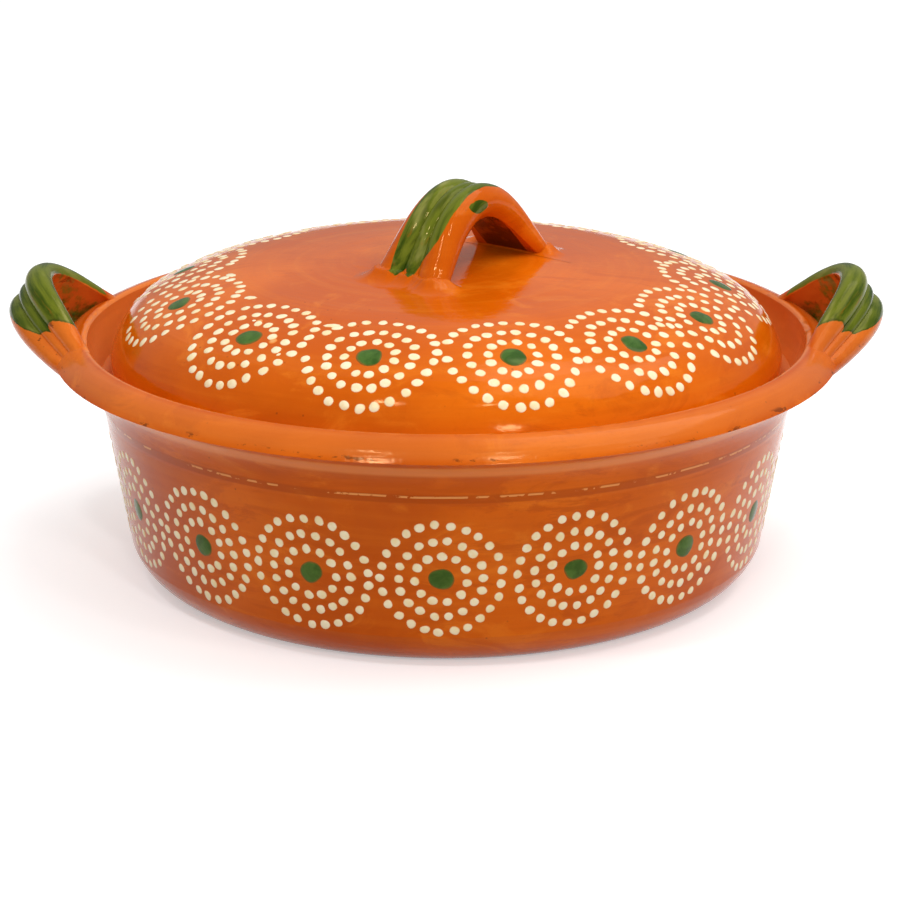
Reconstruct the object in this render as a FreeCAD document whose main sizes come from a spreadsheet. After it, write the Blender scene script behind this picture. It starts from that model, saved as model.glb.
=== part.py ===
# Round lidded casserole dish of glazed red clay, about 34 cm across its rim.
#
# The dish is one fired piece: a wide thrown bowl with a flared rim, a sunk seat for the lid,
# and a pulled, fluted strap handle on each side. The lid is a second fired piece: a low dome
# with a fluted strap handle across its top. It lies loose on the seat inside the rim.
#
# X runs through the two side handles, Z is up, and the origin is under the middle of the foot.
# Lengths are in millimetres and angles in degrees.

import FreeCAD
import Part

import math
import os
from types import SimpleNamespace

import Sketcher

# name, value, what it measures
SIZES = (
    ("foot_radius", 124.0, "flat underside of the bowl"),
    ("heel_out", 14.3, "how far the heel swells past the foot"),
    ("heel_rise", 14.5, "height of the heel's curve"),
    ("heel_bulge", 2.4, "fullness of the heel's curve"),
    ("wall_rise", 58.5, "straight part of the bowl's side"),
    ("wall_out", 9.7, "how far the side leans outwards over that height"),
    ("step_out", 1.2, "small thrown step under the flare"),
    ("step_rise", 4.5, "height of that step"),
    ("flare_out", 19.2, "reach of the flared rim past the step"),
    ("flare_rise", 19.0, "height of the flare"),
    ("flare_sag", 4.6, "hollow of the flare's underside"),
    ("edge_in", 2.8, "bevel on the rim's outer edge, inwards"),
    ("edge_rise", 3.4, "bevel on the rim's outer edge, upwards"),
    ("rim_in", 8.4, "width of the rim's sloping top"),
    ("rim_rise", 5.0, "rise of the rim's top towards the lip"),
    ("rim_crown", 0.9, "crown of the rim's top"),
    ("lip_width", 2.6, "rounded inner lip"),
    ("gallery_in", 5.4, "slope from the lip to the seat, inwards"),
    ("gallery_drop", 18.0, "depth of the seat under the lip"),
    ("gallery_sag", 1.6, "hollow of the gallery's face"),
    ("seat_width", 9.5, "flat seat that carries the lid"),
    ("wall_thick", 7.5, "clay thickness of the bowl's side"),
    ("floor_thick", 8.5, "clay thickness of the bowl's floor"),
    ("corner_radius", 22.0, "inside curve between floor and side"),
    ("lid_play", 4.6, "gap between the lid's edge and the gallery, all round"),
    ("lid_edge_rise", 9.5, "upright edge of the lid above the seat"),
    ("lid_shoulder_in", 15.4, "reach of the lid's shoulder, inwards"),
    ("lid_shoulder_rise", 21.6, "rise of the lid's shoulder"),
    ("lid_brow_in", 45.5, "reach of the lid's brow, inwards"),
    ("lid_brow_rise", 13.4, "rise of the lid's brow"),
    ("lid_crown_rise", 3.6, "rise of the lid's nearly flat top"),
    ("lid_thick", 7.0, "clay thickness of the lid"),
    ("lid_foot", 7.5, "width of the lid's bottom edge"),
    ("side_turn", 2.8, "side handles sit this far round behind the middle"),
    ("side_sink", 6.8, "depth of a side strap's ends under the rim's top"),
    ("side_lean", 46.0, "lean of a side handle above the level"),
    ("side_half_length", 50.0, "half the length of a side strap along the rim"),
    ("side_reach", 26.4, "rise of a side strap's inner face"),
    ("side_width", 23.6, "width of a side strap"),
    ("side_thick", 8.5, "thickness of a side strap at its grooves"),
    ("side_end_width", 9.0, "width of a side strap's smeared ends"),
    ("side_end_thick", 2.6, "thickness of a side strap's smeared ends"),
    ("side_twist", 15.0, "twist of a side strap towards upright at its middle"),
    ("knob_right", 7.6, "lid handle's middle, to the right"),
    ("knob_front", 7.2, "lid handle's middle, to the front"),
    ("knob_turn", 53.0, "lid handle's direction, from X"),
    ("knob_sink", 6.4, "depth of the lid strap's ends under the crown"),
    ("knob_half_length", 44.0, "half the length of the lid strap"),
    ("knob_reach", 27.4, "rise of the lid strap's inner face"),
    ("knob_width", 22.0, "width of the lid strap"),
    ("knob_thick", 12.2, "thickness of the lid strap at its grooves"),
    ("knob_end_width", 41.0, "width of the lid strap's smeared ends"),
    ("knob_end_thick", 2.0, "thickness of the lid strap's smeared ends"),
    ("flute_angle", 44.0, "steepness of the flutes' sides"),
    ("flute_middle", 0.24, "middle flute's share of the three"),
    ("edge_angle", 36.0, "steepness of a strap's rounded edges"),
)


class Term:
    """A size, or a sum of sizes, with its value and the text that binds it to the sheet."""

    def __init__(self, text, value):
        self.text = text
        self.value = value

    def _join(self, sign, other, value):
        return Term("(%s %s %s)" % (self.text, sign, term(other).text), value)

    def __add__(self, other):
        return self._join("+", other, self.value + term(other).value)

    def __sub__(self, other):
        return self._join("-", other, self.value - term(other).value)

    def __mul__(self, other):
        return self._join("*", other, self.value * term(other).value)

    def __truediv__(self, other):
        return self._join("/", other, self.value / term(other).value)

    def __neg__(self):
        return Term("(0 - %s)" % self.text, -self.value)


def term(value):
    if isinstance(value, Term):
        return value
    return Term("(%s)" % repr(float(value)), float(value))


def sin_of(angle):
    return Term("sin(%s)" % angle.text, math.sin(math.radians(angle.value)))


def cos_of(angle):
    return Term("cos(%s)" % angle.text, math.cos(math.radians(angle.value)))


def atan_of(slope):
    return Term("(atan(%s) / 1 deg)" % slope.text, math.degrees(math.atan(slope.value)))


doc = FreeCAD.newDocument("casserole")
sheet = doc.addObject("Spreadsheet::Sheet", "Sizes")
for row, (name, value, meaning) in enumerate(SIZES, start=1):
    sheet.set("A%d" % row, meaning)
    sheet.set("B%d" % row, str(value))
    sheet.setAlias("B%d" % row, name)
doc.recompute()
S = SimpleNamespace(**{name: Term("Sizes.%s" % name, value) for name, value, _ in SIZES})


def plane_of(body, role):
    return next(f for f in body.Origin.OriginFeatures if f.Role == role)


def new_sketch(body, name):
    """A sketch on the body's upright plane: its x is X and its y is Z."""
    sketch = body.newObject("Sketcher::SketchObject", name)
    sketch.AttachmentSupport = [(plane_of(body, "XZ_Plane"), "")]
    sketch.MapMode = "FlatFace"
    return sketch


def arc_through(a, b, radius, side):
    """Anticlockwise arc of this radius between a and b that swells to the right (+1) or left (-1)."""
    dx, dy = b[0] - a[0], b[1] - a[1]
    chord = math.hypot(dx, dy)
    swell_by = side * (radius - math.sqrt(radius ** 2 - chord ** 2 / 4))
    start, finish = FreeCAD.Vector(a[0], a[1], 0), FreeCAD.Vector(b[0], b[1], 0)
    middle = (start + finish) / 2 + FreeCAD.Vector(dy, -dx, 0) / chord * swell_by
    return Part.Arc(start, middle, finish) if side > 0 else Part.Arc(finish, middle, start)


def outline(sketch, corners, bulges):
    """Draw a closed outline and bind it to the sheet.

    corners are (x, y) terms. A bulge of None is a straight edge to the next corner;
    otherwise it is the radius term of an arc and the side it swells to, +1 right or -1 left.
    """
    count = len(corners)
    ends = []
    for i in range(count):
        a = [c.value for c in corners[i]]
        b = [c.value for c in corners[(i + 1) % count]]
        if bulges[i] is None:
            line = Part.LineSegment(FreeCAD.Vector(a[0], a[1], 0), FreeCAD.Vector(b[0], b[1], 0))
            sketch.addGeometry(line, False)
            ends.append((1, 2))
            continue
        radius, side = bulges[i]
        sketch.addGeometry(arc_through(a, b, radius.value, side), False)
        ends.append((1, 2) if side > 0 else (2, 1))
    for i in range(count):
        after = (i + 1) % count
        sketch.addConstraint(Sketcher.Constraint("Coincident", i, ends[i][1], after, ends[after][0]))
    for i, (x, y) in enumerate(corners):
        for kind, value in (("DistanceX", x), ("DistanceY", y)):
            place = sketch.addConstraint(Sketcher.Constraint(kind, -1, 1, i, ends[i][0], value.value))
            sketch.setExpression("Constraints[%d]" % place, value.text)
    for i, bulge in enumerate(bulges):
        if bulge is not None:
            place = sketch.addConstraint(Sketcher.Constraint("Radius", i, bulge[0].value))
            sketch.setExpression("Constraints[%d]" % place, bulge[0].text)


def swell(a, b, sagitta, side):
    """Arc between two corners whose middle stands off its chord by sagitta."""
    dx, dy = b[0] - a[0], b[1] - a[1]
    square = dx * dx + dy * dy
    return (square / (sagitta * 8.0) + sagitta / 2.0, side)


def cap(radius, rise):
    """Arc of a dome's top that meets the axis square: its centre lies on the axis."""
    return ((radius * radius + rise * rise) / (rise * 2.0), 1)


def revolve(body, kind, name, sketch):
    feature = body.newObject(kind, name)
    feature.Profile = sketch
    feature.ReferenceAxis = (sketch, ["V_Axis"])
    feature.Angle = 360.0
    return feature


def strap_section(body, name, place, turns, width, thick):
    """One cross-section of a pulled strap: a flat inner face, and outside a thin flute between two broad ones.

    The section's x points out of the finger gap and its y runs across the strap.
    """
    sketch = new_sketch(body, name)
    spin = " * ".join("rotation(vector(%s); %s)" % (axis, angle.text) for axis, angle in turns)
    base = "; ".join(c.text for c in place)
    sketch.setExpression("AttachmentOffset", "placement(vector(%s); %s)" % (base, spin))
    half = width / 2.0
    middle = width * S.flute_middle
    crease = middle / 2.0
    outer = half - crease
    zero = term(0.0)
    corners = [
        (zero, -half), (thick, -half), (thick, -crease), (thick, crease), (thick, half), (zero, half),
    ]
    steep = sin_of(S.flute_angle) * 2.0
    edge_arc = (thick / (cos_of(S.edge_angle) * 2.0), 1)
    broad = (outer / steep, 1)
    outline(sketch, corners, [edge_arc, broad, (middle / steep, 1), broad, edge_arc, None])
    return sketch


def strap(body, name, sections):
    loft = body.newObject("PartDesign::AdditiveLoft", name)
    loft.Profile = sections[0]
    loft.Sections = sections[1:]
    loft.Ruled = False
    loft.Closed = False
    return loft


# stations along a strap, as shares of its half length, and how far each has thinned to an end
STATIONS = ((-1.0, 1.0), (-0.82, 0.66), (-0.62, 0.4), (-0.42, 0.17), (-0.2, 0.04), (0.0, 0.0),
            (0.2, 0.04), (0.42, 0.17), (0.62, 0.4), (0.82, 0.66), (1.0, 1.0))


def arch(share, reach, half_length, bell):
    """Height of a pulled strap's inner face at a station, and the lean of its section there.

    bell is how tightly the strap's feet close in: 2 is a round arch and 3 a narrow one.
    """
    rest = 1.0 - share ** 2
    return reach * rest ** bell, atan_of(reach * (2.0 * bell * share * rest ** (bell - 1.0)) / half_length)


zero = term(0.0)

# radii and heights of the bowl, from the foot up to the lip
heel_r = S.foot_radius + S.heel_out
heel_z = S.heel_rise
side_r = heel_r + S.wall_out
side_z = heel_z + S.wall_rise
step_r = side_r + S.step_out
step_z = side_z + S.step_rise
edge_r = step_r + S.flare_out
edge_z = step_z + S.flare_rise
crest_r = edge_r - S.edge_in
crest_z = edge_z + S.edge_rise
lip_r = crest_r - S.rim_in
lip_z = crest_z + S.rim_rise
mouth_r = lip_r - S.lip_width
mouth_z = lip_z - S.lip_width / 2.0
seat_r = mouth_r - S.gallery_in
seat_z = lip_z - S.gallery_drop
bore_r = seat_r - S.seat_width

dish = doc.addObject("PartDesign::Body", "dish")
dish.Label = "dish"

profile = new_sketch(dish, "BowlOutside")
foot = (S.foot_radius, zero)
heel = (heel_r, heel_z)
side = (side_r, side_z)
step = (step_r, step_z)
edge = (edge_r, edge_z)
crest = (crest_r, crest_z)
lip = (lip_r, lip_z)
mouth = (mouth_r, mouth_z)
outline(profile, [(zero, zero), foot, heel, side, step, edge, crest, lip, mouth, (zero, mouth_z)], [
    None, swell(foot, heel, S.heel_bulge, 1), None, None, swell(step, edge, S.flare_sag, -1),
    None, swell(crest, lip, S.rim_crown, 1), swell(lip, mouth, S.lip_width / 5.0, 1), None, None,
])
bowl = revolve(dish, "PartDesign::Revolution", "Bowl", profile)
doc.recompute()

# right side handle, from its front end over the grip to its back end
end_r = (edge_r + lip_r) / 2.0 - S.side_sink * cos_of(S.side_lean)
end_z = (edge_z + lip_z) / 2.0 - S.side_sink * sin_of(S.side_lean)
sections = []
for number, (share, change) in enumerate(STATIONS):
    along = S.side_half_length * share
    rise, tilt = arch(share, S.side_reach, S.side_half_length, 2.5)
    out = end_r + rise * cos_of(S.side_lean) - along * along / (edge_r * 2.0)
    x = out * cos_of(S.side_turn) - along * sin_of(S.side_turn)
    y = out * sin_of(S.side_turn) + along * cos_of(S.side_turn)
    z = end_z + rise * sin_of(S.side_lean)
    turns = (
        ("0; 1; 0", S.side_turn + atan_of(along / edge_r)),
        ("0; 0; 1", S.side_lean),
        ("0; 1; 0", tilt),
        ("0; 0; 1", -(S.side_twist * (1.0 - change))),
    )
    width = S.side_width + (S.side_end_width - S.side_width) * change
    thick = S.side_thick + (S.side_end_thick - S.side_thick) * change
    sections.append(strap_section(dish, "SideStrap%d" % number, (x, z, -y), turns, width, thick))
right_handle = strap(dish, "RightHandle", sections)
doc.recompute()

left_handle = dish.newObject("PartDesign::Mirrored", "LeftHandle")
left_handle.Originals = [right_handle]
left_handle.MirrorPlane = (plane_of(dish, "YZ_Plane"), [""])
dish.Tip = left_handle
doc.recompute()

# the inside: gallery and seat for the lid, then the bowl's own hollow
hollow = new_sketch(dish, "BowlInside")
top_z = mouth_z
mouth_in = (mouth_r, mouth_z)
seat = (seat_r, seat_z)
bore = (bore_r, seat_z)
low_r = heel_r - S.wall_thick
turn_z = S.floor_thick + S.corner_radius
floor_r = low_r - S.corner_radius
outline(hollow, [
    (zero, S.floor_thick), (floor_r, S.floor_thick), (low_r, turn_z), bore, seat, mouth_in, (zero, mouth_z),
], [
    None, swell((floor_r, S.floor_thick), (low_r, turn_z), S.corner_radius * 0.28, 1), None, None,
    swell(seat, mouth_in, S.gallery_sag, 1), None, None,
])
inside = revolve(dish, "PartDesign::Groove", "Inside", hollow)
doc.recompute()

# radii and heights of the lid, from its bottom edge up to its crown
rim_r = seat_r - S.lid_play
rim_z = seat_z + S.lid_edge_rise
brow_r = rim_r - S.lid_shoulder_in
brow_z = rim_z + S.lid_shoulder_rise
top_r = brow_r - S.lid_brow_in
top_side_z = brow_z + S.lid_brow_rise
crown_z = top_side_z + S.lid_crown_rise

lid = doc.addObject("PartDesign::Body", "lid")
lid.Label = "lid"

dome = new_sketch(lid, "LidOutside")
low = (rim_r - 0.8, seat_z)
rim = (rim_r, rim_z)
brow = (brow_r, brow_z)
top = (top_r, top_side_z)
crown = (zero, crown_z)
outline(dome, [(zero, seat_z), low, rim, brow, top, crown], [
    None, swell(low, rim, term(0.5), 1), swell(rim, brow, term(2.6), 1), swell(brow, top, term(2.6), 1),
    cap(top_r, S.lid_crown_rise), None,
])
cover = revolve(lid, "PartDesign::Revolution", "Dome", dome)
doc.recompute()

# lid handle, from its front end over the grip to its back end
sections = []
for number, (share, change) in enumerate(STATIONS):
    along = S.knob_half_length * share
    rise, tilt = arch(share, S.knob_reach, S.knob_half_length, 2.0)
    x = S.knob_right + along * cos_of(S.knob_turn)
    y = along * sin_of(S.knob_turn) - S.knob_front
    z = crown_z - S.knob_sink + rise
    turns = (("0; 1; 0", S.knob_turn - 90.0), ("0; 0; 1", term(90.0)), ("0; 1; 0", tilt))
    width = S.knob_width + (S.knob_end_width - S.knob_width) * change
    thick = S.knob_thick + (S.knob_end_thick - S.knob_thick) * change
    sections.append(strap_section(lid, "LidStrap%d" % number, (x, z, -y), turns, width, thick))
lid_handle = strap(lid, "LidHandle", sections)
doc.recompute()

# the lid's hollow underside follows the dome at one thickness
under = new_sketch(lid, "LidInside")
low_in = (rim_r - 0.8 - S.lid_foot, seat_z)
rim_in = (rim_r - S.lid_thick, rim_z)
brow_in = (brow_r - S.lid_thick * 0.66, brow_z - S.lid_thick * 0.75)
top_in = (top_r - S.lid_thick * 0.1, top_side_z - S.lid_thick)
crown_in = (zero, crown_z - S.lid_thick)
outline(under, [(zero, seat_z), low_in, rim_in, brow_in, top_in, crown_in], [
    None, None, swell(rim_in, brow_in, term(2.2), 1), swell(brow_in, top_in, term(2.4), 1),
    cap(top_in[0], S.lid_crown_rise), None,
])
underside = revolve(lid, "PartDesign::Groove", "Underside", under)
doc.recompute()

for item in doc.Objects:
    if "Invalid" in item.State or "Error" in item.State:
        raise RuntimeError("%s did not build: %s" % (item.Name, item.getStatusString()))
for body in (dish, lid):
    shape = body.Shape
    if shape.isNull() or not shape.isValid() or len(shape.Solids) != 1:
        raise RuntimeError("%s is not one valid solid" % body.Label)
if not inside.Shape.Volume < left_handle.Shape.Volume * 0.5:
    raise RuntimeError("the bowl was not hollowed")
if not underside.Shape.Volume < lid_handle.Shape.Volume * 0.6:
    raise RuntimeError("the lid was not hollowed")

os.makedirs("parts", exist_ok=True)
for body in (dish, lid):
    body.Shape.exportStep(os.path.join("parts", body.Label + ".step"))
    box = body.Shape.BoundBox
    print("%s: %.1f x %.1f x %.1f mm, from %.1f up" % (body.Label, box.XLength, box.YLength, box.ZLength, box.ZMin))
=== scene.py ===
import math
import random
from collections import namedtuple

import bpy
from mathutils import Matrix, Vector, noise
from mathutils.bvhtree import BVHTree
from mathutils.kdtree import KDTree


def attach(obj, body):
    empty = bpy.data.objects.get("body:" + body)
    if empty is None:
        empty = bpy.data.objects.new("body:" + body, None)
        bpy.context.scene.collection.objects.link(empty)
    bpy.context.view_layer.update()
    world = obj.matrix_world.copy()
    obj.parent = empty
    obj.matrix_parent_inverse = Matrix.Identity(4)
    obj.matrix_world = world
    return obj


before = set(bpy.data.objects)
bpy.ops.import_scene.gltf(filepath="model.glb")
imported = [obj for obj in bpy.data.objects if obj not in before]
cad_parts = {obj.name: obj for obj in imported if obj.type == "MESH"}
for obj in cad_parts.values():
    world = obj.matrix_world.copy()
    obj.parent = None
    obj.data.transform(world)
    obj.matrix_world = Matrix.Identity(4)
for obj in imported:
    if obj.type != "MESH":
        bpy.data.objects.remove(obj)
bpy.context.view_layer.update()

scene = bpy.context.scene
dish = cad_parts["dish"]
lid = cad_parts["lid"]

MM = 0.001
FULL_TURN = 2.0 * math.pi
UP = Vector((0.0, 0.0, 1.0))

# Camera, at the photograph's viewing angle: places in metres, lens and sensor in millimetres
CAMERA_PLACE = (0.00158, -1.190, 0.43287)
CAMERA_DOWN = math.radians(17.915)
CAMERA_LENS = 114.01
CAMERA_SENSOR = 36.0

# Side straps, as part.py builds them, in millimetres: root out from the axis and up from the floor
RIM_DIAMETER = 336.8
SIDE_ROOT_OUT, SIDE_ROOT_UP = 158.076, 95.808
SIDE_TURN = math.radians(2.8)
SIDE_LEAN = math.radians(46.0)
SIDE_TWIST = math.radians(15.0)
SIDE_REACH = 26.4
SIDE_HALF_LENGTH = 50.0
SIDE_BELL = 2.5
SIDE_TWIST_BELL = 0.9

# The lid's strap: its middle in metres, and the arch of its inner face in millimetres
LID_STRAP_MIDDLE = Vector((0.0076, -0.0072, 0.0))
LID_STRAP_TURN = math.radians(53.0)
LID_STRAP_BASE = 128.6
LID_STRAP_REACH = 27.4
LID_STRAP_HALF_LENGTH = 44.0
LID_STRAP_HALF_WIDTH = 11.0
LID_STRAP_BELL = 2.0

# Edges of the green glaze, in millimetres. On a side strap: across the strap, then along it
SIDE_GREEN_FRONT = [(-12.0, -33.0), (-8.4, -32.6), (-5.0, -31.2), (-2.6, -30.2), (-2.2, -32.4), (3.0, -28.6),
                    (6.0, -25.0), (8.2, -19.0), (10.4, -8.0), (11.6, 6.0), (12.0, 8.0)]
SIDE_GREEN_BACK = 35.0
# On the lid's strap: height above the floor, then across the strap
LID_GREEN_RIGHT = [(134.0, 3.0), (138.0, 3.4), (142.4, 4.2), (147.0, 7.6), (152.0, 9.6), (158.0, 10.2),
                   (172.0, 10.4)]
LID_GREEN_LEFT = [(134.0, 7.6), (138.0, 8.6), (143.0, 9.6), (150.0, 10.1), (172.0, 10.1)]
# On the lid's strap: across the strap, then height above the floor
LID_GREEN_FOOT = [(-12.0, 138.5), (-9.9, 137.2), (-7.0, 135.6), (-4.0, 136.8), (-1.6, 139.6), (-1.0, 138.4),
                  (2.2, 136.8), (4.0, 138.4), (12.0, 140.0)]
LID_GREEN_END = 12.0
LID_GREEN_LONGEST = 42.4
# A small splash on the strap's side face: along and up, with its half sizes
SPLASH_ALONG, SPLASH_UP = -8.2, 162.4
SPLASH_HALF_LENGTH, SPLASH_HALF_HEIGHT = 5.8, 2.6

# Throwing rings in the glaze: how far they sway, and the least radius that they are worked out for, in metres
RING_SWAY = 0.006
RING_LEAST = 0.01

# Bands of the turned rim, in metres: the stretch over which each begins, and for some that over which it ends
# The gallery and crest bands are painted paler as painted sheen from light above; the lip band holds chips
GALLERY_RADII = (0.1440, 0.1475), (0.1555, 0.1575)
GALLERY_FLOOR = 0.0855, 0.0875
CREST_RADIUS, CREST_HEIGHT = (0.1570, 0.1600), (0.0960, 0.1000)
LIP_RADIUS, LIP_HEIGHT = (0.1662, 0.1672), (0.0945, 0.0955)
# At the step: a band of painted shade, and dashes of painted highlight along it
STEP_RADIUS = 0.1465, 0.1470
STEP_SHADE = (0.0738, 0.0746), (0.0774, 0.0786)
STEP_GLINTS = (0.0771, 0.0775), (0.0779, 0.0784)

# The wall's cone, in millimetres
WALL_FOOT_RADIUS = 137.2
WALL_FOOT_HEIGHT = 14.5
WALL_FLARE = 0.1333

# Dot rings. places: degrees round from the front, then height on the wall or radius on the lid. rings: radius
# and number of dots. The rest is how far dots stray round and out of their ring, their least and most radius
# and stretch, the centre's radius, and how near two dots may come. Lengths are in millimetres.
Medallions = namedtuple("Medallions", "places rings stray_round stray_out dot stretch centre spacing")
WALL_LEVEL = 41.0
WALL_FRONT = [(-64.9, 41.5), (-43.6, 41.0), (-22.0, 40.2), (-0.8, 41.0), (21.0, 41.8), (42.7, 41.2),
              (64.6, 41.0)]
WALL_BACK = [(64.6 + 230.5 * k / 11.0, WALL_LEVEL + 0.6 * math.sin(k * 2.3)) for k in range(1, 11)]
WALL = Medallions(WALL_FRONT + WALL_BACK, ((10.35, 11), (16.75, 18), (23.8, 25)), 0.07, 0.35,
                  (1.98, 2.28), (0.94, 1.08), 5.1, 0.0)
LID_RING = 117.0
LID_FRONT = [(-73.0, 117.0), (-42.5, 117.2), (-14.8, 117.9), (13.0, 117.4), (39.0, 119.2), (62.8, 118.6),
             (89.0, 118.0)]
LID_BACK = [(89.0 + 198.0 * k / 7.0, LID_RING) for k in range(1, 7)]
LID = Medallions(LID_FRONT + LID_BACK, ((10.2, 11), (17.8, 18), (26.2, 26)), 0.08, 0.5,
                 (2.12, 2.5), (0.92, 1.12), 5.6, 4.2)

# Torn dabs of slip on the lid, and dots wiped off it before firing. Lengths are in millimetres.
Smudge = namedtuple("Smudge", "x y radius stretch turn height sides")
TORN_DABS = [Smudge(-80.9, -48.7, 2.7, 1.3, 0.5, 0.34, 7), Smudge(-45.7, -88.5, 2.8, 1.5, 0.2, 0.32, 7),
             Smudge(-91.6, -12.6, 2.9, 1.35, 0.4, 0.34, 7), Smudge(91.7, 10.3, 2.4, 1.2, 0.3, 0.32, 7),
             Smudge(-66.4, -103.2, 1.0, 1.2, 0.9, 0.24, 12), Smudge(-77.9, -73.6, 0.9, 1.2, 0.1, 0.12, 12)]
WIPED_DOTS = [Smudge(-69.1, -93.4, 2.0, 1.0, 0.0, 0.16, 14), Smudge(-75.6, -75.2, 1.7, 1.1, 0.0, 0.12, 14)]

# Shape of a dab of slip: heights and sink in metres, how uneven its outline is, and how full its crown is
DOT_HEIGHT = 0.00030
CENTRE_HEIGHT = 0.00035
DAB_SINK = 0.00006
DAB_WOBBLE = 0.16
DAB_CROWN = 2.6

# The dome is read down two lines clear of the strap: one for its lengths, one for its height at two radii
DOME_LINE, DOME_EDGE = math.radians(110.0), 143
CROWN_LINE, CROWN_RADII = math.radians(160.0), (0.066, 0.092)

# Smeared roots of the lid's strap, in metres: their span along the strap, their grid, and how they thin out
ROOT_FROM, ROOT_TO = 0.030, 0.060
ROOT_HALF_WIDTH = 0.034
ROOT_COLUMNS, ROOT_ROWS = 96, 48
ROOT_HEIGHT, ROOT_SINK = 0.0042, 0.00025
ROOT_REACH, ROOT_RAGGED = 0.0125, 0.35
ROOT_EASE_FROM, ROOT_EASE = 0.0305, 0.005
# A foot is where the strap stands this far above the dome, and this far out along it, inside a grid in mm
FOOT_FROM, FOOT_RISE = 0.0335, 0.0012
FOOT_HALF_LENGTH, FOOT_HALF_WIDTH = 46, 24

# Rays that look for the surface start this far out or this high, and are this long, in metres
RAY_OUT, RAY_HIGH, RAY_LENGTH = 0.40, 0.30, 0.40

# Floor: half its width in metres, its grey for light that bounces off it and for rays that see it, and the glow
# that only those rays see
FLOOR_REACH = 30.0
FLOOR_BOUNCE = 0.66
FLOOR_SEEN = 0.85
FLOOR_GLOW = 0.42
# Sky: its strength at the horizon and high up, and the sine of the angle where it is full
SKY_LOW, SKY_HIGH, SKY_TOP = 0.28, 0.75, 0.9
# Lamps: places, aims and sizes in metres, power in watts
Lamp = namedtuple("Lamp", "name place aim size power")
LAMPS = [Lamp("window_low", (0.62, -1.60, 1.0), (0.0, 0.0, 0.08), (0.20, 0.20), 5.5),
         Lamp("window_left", (-0.51, -0.93, 1.8), (0.0, 0.0, 0.08), (0.20, 0.11), 4.0),
         Lamp("window_right", (0.42, -0.97, 1.8), (0.0, 0.0, 0.08), (0.24, 0.04), 2.2),
         Lamp("overhead", (0.75, 0.1, 1.7), (0.0, 0.0, 0.05), (1.4, 1.2), 13.0)]


def srgb(red, green, blue):
    def line(c):
        c /= 255.0
        return c / 12.92 if c <= 0.04045 else ((c + 0.055) / 1.055) ** 2.4
    return (line(red), line(green), line(blue), 1.0)


def add_camera():
    data = bpy.data.cameras.new("camera")
    data.sensor_width = CAMERA_SENSOR
    data.lens = CAMERA_LENS
    data.clip_start, data.clip_end = 0.05, 100.0
    camera = bpy.data.objects.new("camera", data)
    camera.location = CAMERA_PLACE
    camera.rotation_euler = (math.radians(90.0) - CAMERA_DOWN, 0.0, 0.0)
    scene.collection.objects.link(camera)
    scene.camera = camera


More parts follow.
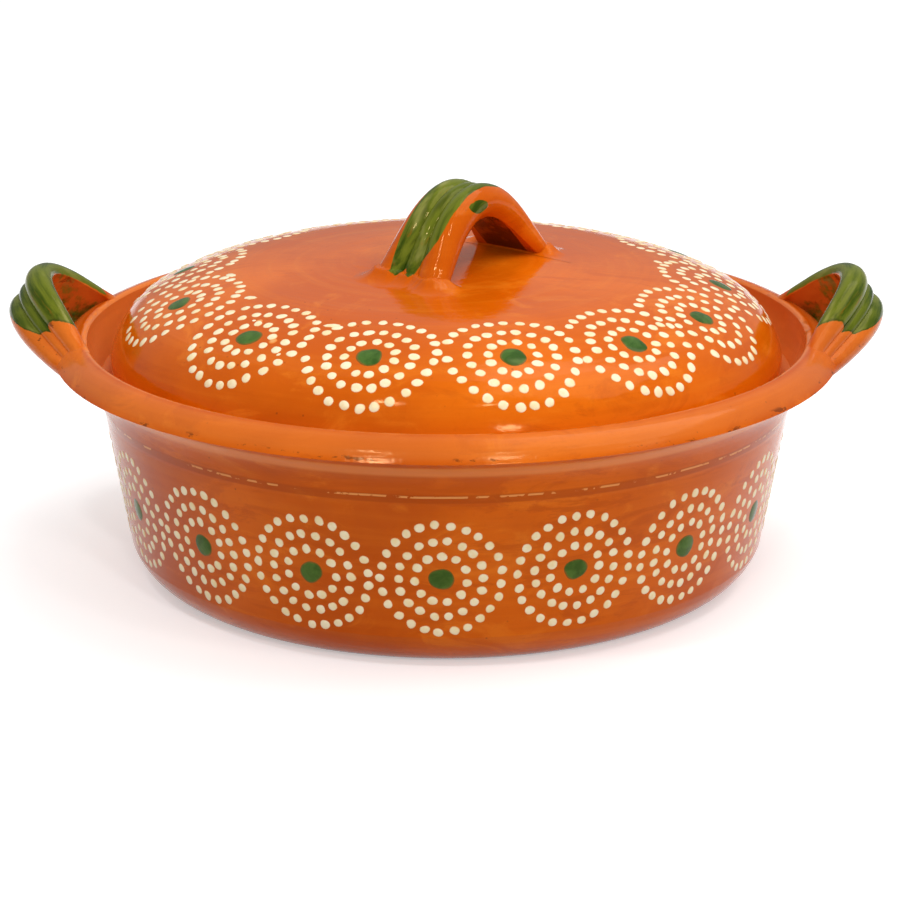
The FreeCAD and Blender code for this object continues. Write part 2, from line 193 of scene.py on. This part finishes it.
class Nodes:
    """Short forms for building the node tree of a material or a world."""

    def __init__(self, holder):
        self.holder = holder
        holder.use_nodes = True
        self.tree = holder.node_tree
        self.tree.nodes.clear()
        self.coords = None

    def add(self, kind, **settings):
        node = self.tree.nodes.new("ShaderNode" + kind)
        for key, value in settings.items():
            setattr(node, key, value)
        return node

    def put(self, value, socket):
        if isinstance(value, bpy.types.NodeSocket):
            self.tree.links.new(value, socket)
        else:
            socket.default_value = value

    def op(self, operation, *values):
        node = self.add("Math", operation=operation)
        for value, socket in zip(values, node.inputs):
            self.put(value, socket)
        return node.outputs[0]

    def times(self, first, *others):
        for other in others:
            first = self.op("MULTIPLY", first, other)
        return first

    def plus(self, a, b):
        return self.op("ADD", a, b)

    def minus(self, a, b):
        return self.op("SUBTRACT", a, b)

    def fused(self, a, b, c):
        """a times b, plus c."""
        return self.op("MULTIPLY_ADD", a, b, c)

    def turned(self, x, y, angle):
        """x and y read in axes turned by an angle, which may be a number or a node's output."""
        if isinstance(angle, float):
            cos, sin, less = math.cos(angle), math.sin(angle), -math.sin(angle)
        else:
            cos, sin = self.op("COSINE", angle), self.op("SINE", angle)
            less = self.times(sin, -1.0)
        return self.fused(x, cos, self.times(y, sin)), self.fused(y, cos, self.times(x, less))

    def mix(self, factor, a, b):
        node = self.add("Mix", data_type="RGBA")
        self.put(factor, node.inputs["Factor"])
        self.put(a, node.inputs[6])
        self.put(b, node.inputs[7])
        return node.outputs[2]

    def ramp(self, value, low, high, a=0.0, b=1.0, kind="LINEAR"):
        """Goes from a to b while value goes from low to high, and stays there outside."""
        node = self.add("MapRange", interpolation_type=kind)
        for key, item in zip(("Value", "From Min", "From Max", "To Min", "To Max"), (value, low, high, a, b)):
            self.put(item, node.inputs[key])
        return node.outputs[0]

    def step(self, value, low, high, a=0.0, b=1.0):
        return self.ramp(value, low, high, a, b, "SMOOTHSTEP")

    def between(self, value, rise, fall):
        """1 between two limits, each of which is soft over a short stretch."""
        return self.times(self.step(value, *rise), self.step(value, fall[1], fall[0]))

    def tint(self, colour, paint, pattern, low, high, most=1.0):
        """A colour with paint laid over it, from none where the pattern is at low to most at high."""
        return self.mix(self.step(pattern, low, high, 0.0, most), colour, paint)

    def place(self, scale=(1.0, 1.0, 1.0)):
        if self.coords is None:
            self.coords = self.add("TexCoord").outputs["Object"]
        node = self.add("Mapping")
        self.put(self.coords, node.inputs["Vector"])
        node.inputs["Scale"].default_value = scale
        return node.outputs[0]

    def xyz(self):
        node = self.add("SeparateXYZ")
        self.put(self.place(), node.inputs[0])
        return node.outputs[0], node.outputs[1], node.outputs[2]

    def vector(self, x, y, z):
        node = self.add("CombineXYZ")
        for value, socket in zip((x, y, z), node.inputs):
            self.put(value, socket)
        return node.outputs[0]

    def noise(self, scale, detail=3.0, rough=0.5, stretch=(1.0, 1.0, 1.0), warp=0.0, vector=None):
        node = self.add("TexNoise")
        self.put(self.place(stretch) if vector is None else vector, node.inputs["Vector"])
        node.inputs["Scale"].default_value = scale
        node.inputs["Detail"].default_value = detail
        node.inputs["Roughness"].default_value = rough
        node.inputs["Distortion"].default_value = warp
        return node.outputs["Fac"]

    def specks(self, scale, size):
        node = self.add("TexVoronoi")
        self.put(self.place(), node.inputs["Vector"])
        node.inputs["Scale"].default_value = scale
        return self.step(node.outputs["Distance"], size, size * 0.45)

    def curve(self, value, points, low, high):
        """A value read off a line through (x, y) points; y runs from low to high."""
        first, last = points[0][0], points[-1][0]
        node = self.add("FloatCurve")
        line = node.mapping.curves[0]
        places = [((x - first) / (last - first), (y - low) / (high - low)) for x, y in points]
        line.points[0].location, line.points[1].location = places[0], places[-1]
        for place in places[1:-1]:
            line.points.new(*place)
        for point in line.points:
            point.handle_type = "VECTOR"
        node.mapping.update()
        self.put(self.ramp(value, first, last), node.inputs["Value"])
        return self.fused(node.outputs[0], high - low, low)

    def bump(self, layers):
        """A normal from (height, strength, distance) layers laid over each other."""
        normal = None
        for height, strength, distance in layers:
            node = self.add("Bump")
            node.inputs["Strength"].default_value = strength
            node.inputs["Distance"].default_value = distance
            self.put(height, node.inputs["Height"])
            if normal is not None:
                self.put(normal, node.inputs["Normal"])
            normal = node.outputs[0]
        return normal

    def glaze(self, colour, rough, normal):
        """A clear glaze over a colour, with the amber tint that it has over red clay."""
        shader = self.add("BsdfPrincipled")
        self.put(colour, shader.inputs["Base Color"])
        self.put(rough, shader.inputs["Roughness"])
        self.put(normal, shader.inputs["Normal"])
        shader.inputs["IOR"].default_value = 1.5
        shader.inputs["Specular IOR Level"].default_value = 0.19
        shader.inputs["Specular Tint"].default_value = (1.0, 0.68, 0.32, 1.0)
        return self.finish(shader.outputs[0])

    def finish(self, shader, output="OutputMaterial"):
        self.put(shader, self.add(output).inputs["Surface"])
        return self.holder


# Glazed clay

def thrown(n):
    """A place in the turned profile, wandering a little on its way round, for marks left by throwing."""
    x, y, z = n.xyz()
    radius = n.op("MAXIMUM", n.op("SQRT", n.fused(x, x, n.times(y, y))), RING_LEAST)
    east = n.times(n.op("DIVIDE", x, radius), RING_SWAY)
    north = n.times(n.op("DIVIDE", y, radius), RING_SWAY)
    return n.vector(n.plus(radius, east), n.plus(z, north), east), radius


def clay_colour(n, base, deep, pale):
    """Red clay under a clear glaze: clouds, mottling, faint throwing rings, grain and iron specks."""
    rings, _ = thrown(n)
    clouds = n.noise(9.0, 4.0, 0.55, warp=0.4)
    patches = n.noise(34.0, 6.0, 0.62, stretch=(0.8, 0.8, 1.8), warp=1.1)
    hollows = n.noise(26.0, 6.0, 0.66, stretch=(0.7, 0.7, 2.4), warp=1.4)
    colour = n.tint(deep, base, clouds, 0.36, 0.66)
    colour = n.tint(colour, pale, patches, 0.53, 0.68, 0.5)
    colour = n.tint(colour, deep, hollows, 0.50, 0.38, 0.7)
    colour = n.tint(colour, pale, n.noise(150.0, 3.0, 0.6, vector=rings), 0.45, 0.72, 0.22)
    colour = n.tint(colour, deep, n.noise(420.0, 2.0, 0.6, vector=rings), 0.50, 0.74, 0.22)
    colour = n.tint(colour, deep, n.noise(420.0, 3.0, 0.6), 0.52, 0.74, 0.18)
    spots = n.times(n.specks(150.0, 0.10), n.step(n.noise(28.0), 0.5, 0.62), 0.45)
    return n.mix(spots, colour, srgb(96, 40, 16))


def clay_bump(n):
    rings, _ = thrown(n)
    sway = n.noise(13.0, 2.0, 0.5)
    broad = n.noise(120.0, 2.0, 0.5, vector=rings)
    fine = n.noise(520.0, 2.0, 0.5, vector=rings)
    grain = n.noise(460.0, 3.0, 0.5)
    return n.bump([(sway, 0.5, 0.0014), (broad, 0.26, 0.0007), (fine, 0.25, 0.0002), (grain, 0.30, 0.0002)])


def green_colour(n, along, across, depth):
    """Copper green glaze in lengthwise streaks, pale in places and brown where it ran thin."""
    along, across, depth = n.times(along, MM), n.times(across, MM), n.times(depth, MM)
    flow = n.vector(across, n.times(along, 0.12), depth)
    drift = n.vector(across, n.times(along, 0.4), depth)
    streaks = n.noise(150.0, 4.0, 0.6, warp=0.3, vector=flow)
    colour = n.tint(srgb(48, 72, 5), srgb(108, 118, 30), streaks, 0.36, 0.60)
    colour = n.tint(colour, srgb(152, 152, 78), n.noise(110.0, 3.0, 0.5, vector=drift), 0.54, 0.70, 0.75)
    colour = n.tint(colour, srgb(28, 46, 4), n.noise(80.0, 3.0, 0.6, vector=drift), 0.40, 0.30, 0.55)
    return n.tint(colour, srgb(150, 98, 24), n.noise(240.0, 4.0, 0.6, vector=flow), 0.62, 0.74, 0.7)


def side_strap(n):
    """Millimetres along, across and out of a side strap, from the object's own position."""
    x, y, z = n.xyz()
    side, y, z = n.times(n.op("ABSOLUTE", x), 1.0 / MM), n.times(y, 1.0 / MM), n.times(z, 1.0 / MM)
    out, along = n.turned(side, y, SIDE_TURN)
    out = n.fused(n.times(along, along), 1.0 / RIM_DIAMETER, n.minus(out, SIDE_ROOT_OUT))
    rise, back = n.turned(out, n.minus(z, SIDE_ROOT_UP), SIDE_LEAN)
    share = n.op("DIVIDE", along, SIDE_HALF_LENGTH)
    rest = n.op("MAXIMUM", n.minus(1.0, n.times(share, share)), 0.0)
    depth = n.minus(rise, n.times(n.op("POWER", rest, SIDE_BELL), SIDE_REACH))
    twist = n.times(n.op("POWER", rest, SIDE_TWIST_BELL), SIDE_TWIST)
    depth, across = n.turned(depth, n.times(back, -1.0), twist)
    return along, across, depth


def rim_chips_and_painted_light(n, colour, green):
    """Painted sheen in gallery and crest, chips along the lip, and painted shade with painted highlights in the
    step.
    """
    _, radius = thrown(n)
    _, _, z = n.xyz()
    bare = n.minus(1.0, green)
    gallery = n.times(n.between(radius, *GALLERY_RADII), n.step(z, *GALLERY_FLOOR))
    crest = n.times(n.step(radius, *CREST_RADIUS), n.step(z, *CREST_HEIGHT))
    # Paler colour in the gallery and on the crest is painted sheen, where light falls from above
    painted_sheen = n.op("MAXIMUM", n.times(gallery, 0.55), n.times(crest, 0.24))
    colour = n.mix(n.times(painted_sheen, bare), colour, srgb(248, 148, 70))
    lip = n.times(n.step(radius, *LIP_RADIUS), n.step(z, *LIP_HEIGHT))
    chips = n.step(n.noise(170.0, 5.0, 0.65, stretch=(0.6, 0.6, 1.6)), 0.585, 0.64)
    colour = n.mix(n.times(lip, chips, bare, 0.75), colour, srgb(110, 48, 12))
    # A darker line at the step is painted shade; the pale dashes along it are painted highlights
    line = n.times(n.between(z, *STEP_SHADE), n.step(radius, *STEP_RADIUS), 0.62)
    colour = n.mix(line, colour, srgb(172, 66, 0))
    sway = n.fused(n.noise(30.0, 2.0), 0.0016, z)
    gaps = n.step(n.noise(150.0, 3.0, 0.6), 0.48, 0.53)
    painted_glints = n.times(n.between(sway, *STEP_GLINTS), gaps, n.step(radius, *STEP_RADIUS), 0.75)
    return n.mix(painted_glints, colour, srgb(246, 170, 96))


def dish_material():
    n = Nodes(bpy.data.materials.new("terracotta_dish"))
    clay = clay_colour(n, srgb(221, 100, 5), srgb(195, 79, 2), srgb(234, 122, 26))
    along, across, depth = side_strap(n)
    ragged = n.minus(n.noise(120.0, 3.0, 0.6), 0.5)
    front = n.curve(across, SIDE_GREEN_FRONT, -40.0, 40.0)
    past = n.minus(n.fused(ragged, 3.0, along), front)
    back = n.minus(n.fused(n.times(across, across), -0.012, SIDE_GREEN_BACK), along)
    outer = n.fused(ragged, 2.0, depth)
    green = n.times(n.step(past, 0.0, 0.5), n.step(back, 0.0, 0.5), n.step(outer, -0.1, 0.4))
    colour = n.mix(green, clay, green_colour(n, along, across, depth))
    edge = n.times(n.between(past, (0.0, 0.4), (0.6, 1.5)), green, 0.5)
    colour = n.mix(edge, colour, srgb(36, 40, 8))
    colour = rim_chips_and_painted_light(n, colour, green)
    rough = n.step(n.noise(60.0, 3.0), 0.3, 0.75, 0.07, 0.17)
    return n.glaze(colour, rough, clay_bump(n))


def lid_strap(n):
    """Millimetres along, across and above the inner face of the lid's strap, and up from the floor."""
    x, y, z = n.xyz()
    middle = LID_STRAP_MIDDLE
    along, back = n.turned(n.minus(x, middle.x), n.minus(y, middle.y), LID_STRAP_TURN)
    along, across, high = n.times(along, 1.0 / MM), n.times(back, -1.0 / MM), n.times(z, 1.0 / MM)
    rest = n.minus(1.0, n.times(along, along, 1.0 / LID_STRAP_HALF_LENGTH ** 2))
    arch = n.times(n.op("POWER", n.op("MAXIMUM", rest, 0.0), LID_STRAP_BELL), LID_STRAP_REACH)
    return along, across, n.minus(n.minus(high, LID_STRAP_BASE), arch), high


def painted_arch_shade(n, across, depth, high, crown, fall):
    """Painted shade under the strap's arch, on its inner face down to the dome, in patches."""
    x, y, _ = n.xyz()
    over_dome = n.minus(n.fused(n.fused(x, x, n.times(y, y)), fall / MM, high), crown / MM)
    within = n.step(n.op("ABSOLUTE", across), LID_STRAP_HALF_WIDTH, LID_STRAP_HALF_WIDTH - 0.8)
    patchy = n.step(n.noise(90.0, 3.0, 0.6), 0.34, 0.50, 0.55, 0.88)
    return n.times(n.step(depth, 3.0, 2.0), n.step(over_dome, 0.4, 1.2), within, patchy)


def lid_material(crown, fall):
    n = Nodes(bpy.data.materials.new("terracotta_lid"))
    # The lid's clay colours are a little paler than the dish's: painted light from above on the top
    clay = clay_colour(n, srgb(232, 110, 6), srgb(208, 90, 3), srgb(240, 130, 28))
    along, across, depth, high = lid_strap(n)
    ragged = n.minus(n.noise(120.0, 3.0, 0.6), 0.5)
    right = n.minus(n.curve(high, LID_GREEN_RIGHT, -12.0, 12.0), n.fused(ragged, 1.4, across))
    left = n.plus(n.plus(ragged, across), n.curve(high, LID_GREEN_LEFT, 0.0, 12.0))
    foot = n.minus(n.fused(ragged, 1.6, high), n.curve(across, LID_GREEN_FOOT, 130.0, 145.0))
    end = n.minus(LID_GREEN_END, n.fused(ragged, 3.0, along))
    whole = n.step(n.op("ABSOLUTE", along), LID_GREEN_LONGEST, LID_GREEN_LONGEST - 0.6)
    green = n.times(n.step(right, 0.0, 0.4), n.step(left, 0.0, 0.4), n.step(foot, 0.0, 0.4),
                    n.step(end, 0.0, 0.5), n.step(depth, 3.0, 4.0), whole)
    splash_along = n.times(n.minus(along, SPLASH_ALONG), 1.0 / SPLASH_HALF_LENGTH)
    splash_up = n.times(n.minus(high, SPLASH_UP), 1.0 / SPLASH_HALF_HEIGHT)
    splash = n.fused(splash_along, splash_along, n.times(splash_up, splash_up))
    splash = n.step(n.fused(ragged, 1.2, splash), 1.05, 0.9)
    side_face = n.step(across, LID_STRAP_HALF_WIDTH - 0.1, LID_STRAP_HALF_WIDTH + 0.1)
    green = n.op("MAXIMUM", green, n.times(splash, side_face))
    # The dark colour on the strap's underside is painted shade under the arch
    clay = n.mix(painted_arch_shade(n, across, depth, high, crown, fall), clay, srgb(92, 32, 4))
    colour = n.mix(green, clay, green_colour(n, along, across, depth))
    rough = n.step(n.noise(60.0, 3.0), 0.3, 0.75, 0.04, 0.12)
    return n.glaze(colour, rough, clay_bump(n))


# Painted dabs

def dab_edge(n):
    return n.add("Attribute", attribute_name="edge").outputs["Fac"]


def ragged_rim(n, colour, paint, cloud, sway, inner, outer):
    """A dab's colour, which goes over to the paint near its edge."""
    return n.tint(colour, paint, n.fused(n.minus(cloud, 0.5), sway, dab_edge(n)), inner, outer)


def dab_glaze(n, colour, rough):
    return n.glaze(colour, rough, n.bump([(n.noise(160.0), 0.2, 0.0004)]))


def slip_material():
    """Cream slip, thinner and browner at the rim of each dot."""
    n = Nodes(bpy.data.materials.new("cream_slip"))
    cloud = n.noise(220.0, 3.0, 0.6)
    colour = n.tint(srgb(255, 242, 206), srgb(250, 228, 176), cloud, 0.35, 0.7)
    return dab_glaze(n, ragged_rim(n, colour, srgb(226, 138, 56), cloud, 0.3, 0.74, 1.02), 0.14)


def wiped_material():
    """A dot wiped off before firing, so that only a pale stain is left."""
    n = Nodes(bpy.data.materials.new("wiped_slip"))
    return dab_glaze(n, n.tint(srgb(240, 170, 100), srgb(232, 122, 34), dab_edge(n), 0.3, 0.95), 0.10)


def centre_material():
    """The green spot in the middle of the rings."""
    n = Nodes(bpy.data.materials.new("green_glaze"))
    cloud = n.noise(130.0, 4.0, 0.6, warp=0.5)
    colour = n.tint(srgb(46, 84, 26), srgb(74, 112, 44), cloud, 0.32, 0.68)
    return dab_glaze(n, ragged_rim(n, colour, srgb(150, 84, 30), cloud, 0.4, 0.78, 1.04), 0.14)


def add_piece(name, points, faces, material, edge=None):
    """A smooth mesh that rides on the part's one body. edge is 0 to 1 from a dab's middle to its rim."""
    mesh = bpy.data.meshes.new(name)
    mesh.from_pydata([tuple(p) for p in points], [], faces)
    if edge is not None:
        mesh.attributes.new("edge", "FLOAT", "POINT").data.foreach_set("value", edge)
    mesh.materials.append(material)
    mesh.polygons.foreach_set("use_smooth", [True] * len(mesh.polygons))
    mesh.validate()
    mesh.update()
    piece = bpy.data.objects.new(name, mesh)
    scene.collection.objects.link(piece)
    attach(piece, "root")


class Paint:
    """Collects lens-shaped dabs laid on a surface, and makes one object of them."""

    def __init__(self, name, tree, material, slot):
        self.name, self.tree, self.material, self.slot = name, tree, material, slot
        self.points, self.faces, self.edge = [], [], []

    def dab(self, centre, normal, radius, height, rng, stretch, turn, rings=(0.45, 0.78, 1.0), sides=14):
        u = normal.cross(UP)
        u = u.normalized() if u.length > 1e-4 else Vector((1.0, 0.0, 0.0))
        v = normal.cross(u)
        seed = Vector((rng.random() * 90.0, rng.random() * 90.0, 0.0))
        first = len(self.points)
        self.points.append(centre + normal * height)
        self.edge.append(0.0)
        for share in rings:
            for k in range(sides):
                a = FULL_TURN * k / sides
                wobble = 1.0 + DAB_WOBBLE * noise.noise(seed + Vector((math.cos(a), math.sin(a), 0.0)) * 0.9)
                p, q = math.cos(a) * stretch, math.sin(a) / stretch
                p, q = p * math.cos(turn) - q * math.sin(turn), p * math.sin(turn) + q * math.cos(turn)
                spot = centre + (u * p + v * q) * radius * share * wobble
                hit = self.tree.ray_cast(spot + normal * 0.006, -normal, 0.02)[0]
                spot = spot if hit is None else hit
                rise = height * (1.0 - share ** DAB_CROWN) - (DAB_SINK if share == rings[-1] else 0.0)
                self.points.append(spot + normal * rise)
                self.edge.append(share)
        for k in range(sides):
            after = (k + 1) % sides
            self.faces.append((first, first + 1 + k, first + 1 + after))
            for ring in range(len(rings) - 1):
                low, high = first + 1 + ring * sides, first + 1 + (ring + 1) * sides
                self.faces.append((low + k, high + k, high + after, low + after))

    def make(self):
        add_piece(self.name, self.points, self.faces, self.material, self.edge)


def surface_of(node):
    """A ray tree of a CAD node in the object's frame."""
    points = [node.matrix_world @ v.co for v in node.data.vertices]
    return BVHTree.FromPolygons(points, [tuple(p.vertices) for p in node.data.polygons])


def outwards(angle):
    """A level direction, by its angle round from the front."""
    return Vector((math.sin(angle), -math.cos(angle), 0.0))


def wall_spot(tree, angle, height):
    """A point of the wall and its outward normal."""
    out = outwards(angle)
    spot, normal = tree.ray_cast(out * RAY_OUT + UP * height, -out, RAY_LENGTH)[:2]
    return spot, facing(normal, (out + UP * 0.05).normalized())


def lid_spot(tree, angle, radius):
    """A point of the lid's top and its upward normal."""
    spot, normal = tree.ray_cast(outwards(angle) * radius + UP * RAY_HIGH, -UP, RAY_LENGTH)[:2]
    return spot, facing(normal, UP)


def facing(normal, away):
    if normal is None or normal.dot(away) > 0.0:
        return normal
    return -normal


def paint_rings(pattern, rng, dots, centres, place):
    """Every medallion of a pattern. place finds the surface, so far along and up from its centre."""
    taken = []
    for angle, level in pattern.places:
        middle = math.radians(angle)
        spot, normal = place(middle, level, 0.0, 0.0)
        centres.dab(spot, normal, pattern.centre * MM, CENTRE_HEIGHT, rng, 1.0 + rng.uniform(-0.03, 0.05),
                    rng.uniform(0, 3), rings=(0.4, 0.7, 0.88, 1.0), sides=26)
        for radius, count in pattern.rings:
            phase = rng.uniform(0.0, FULL_TURN)
            for k in range(count):
                stray = rng.uniform(-pattern.stray_round, pattern.stray_round)
                turn = phase + FULL_TURN * (k + stray) / count
                reach = radius + rng.uniform(-pattern.stray_out, pattern.stray_out)
                spot, normal = place(middle, level, reach * math.cos(turn), reach * math.sin(turn))
                if spot is None or any((spot - other).length < pattern.spacing * MM for other in taken):
                    continue
                taken.append(spot)
                dots.dab(spot, normal, MM * rng.uniform(*pattern.dot), DOT_HEIGHT, rng,
                         rng.uniform(*pattern.stretch), rng.uniform(0, 3))


def paint_dish(tree, slip, green):
    dots = Paint("dish_dots", tree, slip, "cream_slip")
    centres = Paint("dish_centres", tree, green, "green_glaze")

    def place(middle, level, along, rise):
        radius = WALL_FOOT_RADIUS + (level + rise - WALL_FOOT_HEIGHT) * WALL_FLARE
        return wall_spot(tree, middle + along / radius, (level + rise) * MM)

    paint_rings(WALL, random.Random(11), dots, centres, place)
    dots.make()
    centres.make()


def dome_lengths(tree):
    """Length along the dome from the axis, for each millimetre of radius, down a line clear of the strap."""
    table, length, last = [], 0.0, None
    for k in range(DOME_EDGE):
        here = Vector((k * MM, lid_spot(tree, DOME_LINE, k * MM)[0].z))
        length += (here - last).length if last is not None else 0.0
        last = here
        table.append((k * MM, length))
    return table


def read_off(pairs, value):
    """The second number of a rising table of pairs, where the first has a value."""
    for (x0, y0), (x1, y1) in zip(pairs, pairs[1:]):
        if x1 >= value:
            return y0 + (y1 - y0) * (value - x0) / max(x1 - x0, 1e-9)
    return pairs[-1][1]


def paint_lid(tree, slip, green, wiped):
    lengths = dome_lengths(tree)
    radii = [(length, radius) for radius, length in lengths]
    dots = Paint("lid_dots", tree, slip, "cream_slip")
    centres = Paint("lid_centres", tree, green, "green_glaze")
    ghosts = Paint("lid_ghosts", tree, wiped, "cream_slip")

    def place(middle, ring, along, rise):
        radius = read_off(radii, read_off(lengths, ring * MM) - rise * MM)
        return lid_spot(tree, middle + along * MM / radius, radius)

    rng = random.Random(23)
    paint_rings(LID, rng, dots, centres, place)
    for paint, smudges in ((dots, TORN_DABS), (ghosts, WIPED_DOTS)):
        for smudge in smudges:
            out = Vector((smudge.x, smudge.y)) * MM
            spot, normal = lid_spot(tree, math.atan2(out.x, -out.y), out.length)
            paint.dab(spot, normal, smudge.radius * MM, smudge.height * MM, rng, smudge.stretch, smudge.turn,
                      sides=smudge.sides)
    ghosts.make()
    dots.make()
    centres.make()


# Smeared roots of the lid's strap

def dome_shape(tree):
    """The dome as a crown's height and a fall per square metre, read at two radii clear of the strap."""
    near, far = CROWN_RADII
    inner, outer = (lid_spot(tree, CROWN_LINE, radius)[0].z for radius in CROWN_RADII)
    fall = (inner - outer) / (far ** 2 - near ** 2)
    return inner + fall * near ** 2, fall


def smear_lid_roots(tree, material, crown, fall):
    """Clay dragged from the strap's feet onto the dome, highest against the strap and thin at its edge."""
    along = Vector((math.cos(LID_STRAP_TURN), math.sin(LID_STRAP_TURN), 0.0))
    across = Vector((along.y, -along.x, 0.0))

    def dome(u, v, lift=0.0):
        place = LID_STRAP_MIDDLE + along * u + across * v
        return place + UP * (crown - fall * place.length_squared + lift)

    feet = []
    for i in range(-FOOT_HALF_LENGTH, FOOT_HALF_LENGTH + 1):
        for j in range(-FOOT_HALF_WIDTH, FOOT_HALF_WIDTH + 1):
            u, v = i * MM, j * MM
            ground = dome(u, v)
            hit = tree.ray_cast(Vector((ground.x, ground.y, RAY_HIGH)), -UP, RAY_LENGTH)[0]
            if abs(u) > FOOT_FROM and hit is not None and hit.z > ground.z + FOOT_RISE:
                feet.append((u, v, 0.0))
    near = KDTree(len(feet))
    for index, spot in enumerate(feet):
        near.insert(spot, index)
    near.balance()

    points, faces = [], []
    for side in (-1.0, 1.0):
        first = len(points)
        for j in range(ROOT_ROWS + 1):
            for k in range(ROOT_COLUMNS + 1):
                u = side * (ROOT_FROM + (ROOT_TO - ROOT_FROM) * j / ROOT_ROWS)
                v = ROOT_HALF_WIDTH * (2.0 * k / ROOT_COLUMNS - 1.0)
                gap = near.find((u, v, 0.0))[2]
                drag = noise.noise(Vector((v * 170.0, u * 40.0, 3.0 + side)))
                swell = noise.noise(Vector((v * 60.0, u * 60.0, side)))
                share = min(gap / (ROOT_REACH * (1.0 + ROOT_RAGGED * swell)), 1.0)
                lift = ROOT_HEIGHT * (1.0 - share) ** 3.0 * (1.0 + ROOT_RAGGED * drag) - ROOT_SINK * share
                lift *= min(max((abs(u) - ROOT_EASE_FROM) / ROOT_EASE, 0.0), 1.0)
                points.append(dome(u, v, lift))
        for j in range(ROOT_ROWS):
            for k in range(ROOT_COLUMNS):
                a = first + j * (ROOT_COLUMNS + 1) + k
                quad = (a, a + 1, a + ROOT_COLUMNS + 2, a + ROOT_COLUMNS + 1)
                faces.append(quad if side > 0.0 else quad[::-1])
    add_piece("lid_handle_roots", points, faces, material)


# Studio

def seen_rays(n):
    """1 for camera, glossy and transmission rays."""
    path = n.add("LightPath")
    seen = n.op("MAXIMUM", path.outputs["Is Camera Ray"], path.outputs["Is Glossy Ray"])
    return n.op("MAXIMUM", seen, path.outputs["Is Transmission Ray"])


def floor_material():
    n = Nodes(bpy.data.materials.new("studio_floor"))
    seen = seen_rays(n)
    diffuse, glow, both = n.add("BsdfDiffuse"), n.add("Emission"), n.add("AddShader")
    n.put(n.mix(seen, (FLOOR_BOUNCE,) * 3 + (1.0,), (FLOOR_SEEN,) * 3 + (1.0,)), diffuse.inputs["Color"])
    n.put(n.times(seen, FLOOR_GLOW), glow.inputs["Strength"])
    n.put(diffuse.outputs[0], both.inputs[0])
    n.put(glow.outputs[0], both.inputs[1])
    return n.finish(both.outputs[0])


def add_floor():
    mesh = bpy.data.meshes.new("floor")
    corners = [(x * FLOOR_REACH, y * FLOOR_REACH, 0.0) for x, y in ((-1, -1), (1, -1), (1, 1), (-1, 1))]
    mesh.from_pydata(corners, [], [(0, 1, 2, 3)])
    mesh.materials.append(floor_material())
    floor = bpy.data.objects.new("floor", mesh)
    scene.collection.objects.link(floor)


def add_sky():
    """White light that grows from the horizon upwards."""
    scene.world = bpy.data.worlds.new("studio")
    n = Nodes(scene.world)
    split, background = n.add("SeparateXYZ"), n.add("Background")
    n.put(n.add("TexCoord").outputs["Generated"], split.inputs[0])
    background.inputs["Color"].default_value = (1.0, 1.0, 1.0, 1.0)
    n.put(n.ramp(split.outputs["Z"], 0.0, SKY_TOP, SKY_LOW, SKY_HIGH), background.inputs["Strength"])
    n.finish(background.outputs[0], "OutputWorld")


def add_lamp(lamp):
    data = bpy.data.lights.new(lamp.name, "AREA")
    data.shape = "RECTANGLE"
    data.size, data.size_y = lamp.size
    data.energy = lamp.power
    light = bpy.data.objects.new(lamp.name, data)
    light.location = lamp.place
    light.rotation_euler = (Vector(lamp.aim) - Vector(lamp.place)).to_track_quat("-Z", "Y").to_euler()
    scene.collection.objects.link(light)


add_camera()
add_floor()
add_sky()
for lamp in LAMPS:
    add_lamp(lamp)
scene.view_settings.view_transform = "Standard"

dish_tree, lid_tree = surface_of(dish), surface_of(lid)
crown, fall = dome_shape(lid_tree)
dish_clay, lid_clay = dish_material(), lid_material(crown, fall)
for node, material in ((dish, dish_clay), (lid, lid_clay)):
    node.data.materials.clear()
    node.data.materials.append(material)

slip, green = slip_material(), centre_material()
paint_dish(dish_tree, slip, green)
paint_lid(lid_tree, slip, green, wiped_material())
smear_lid_roots(lid_tree, lid_clay, crown, fall)
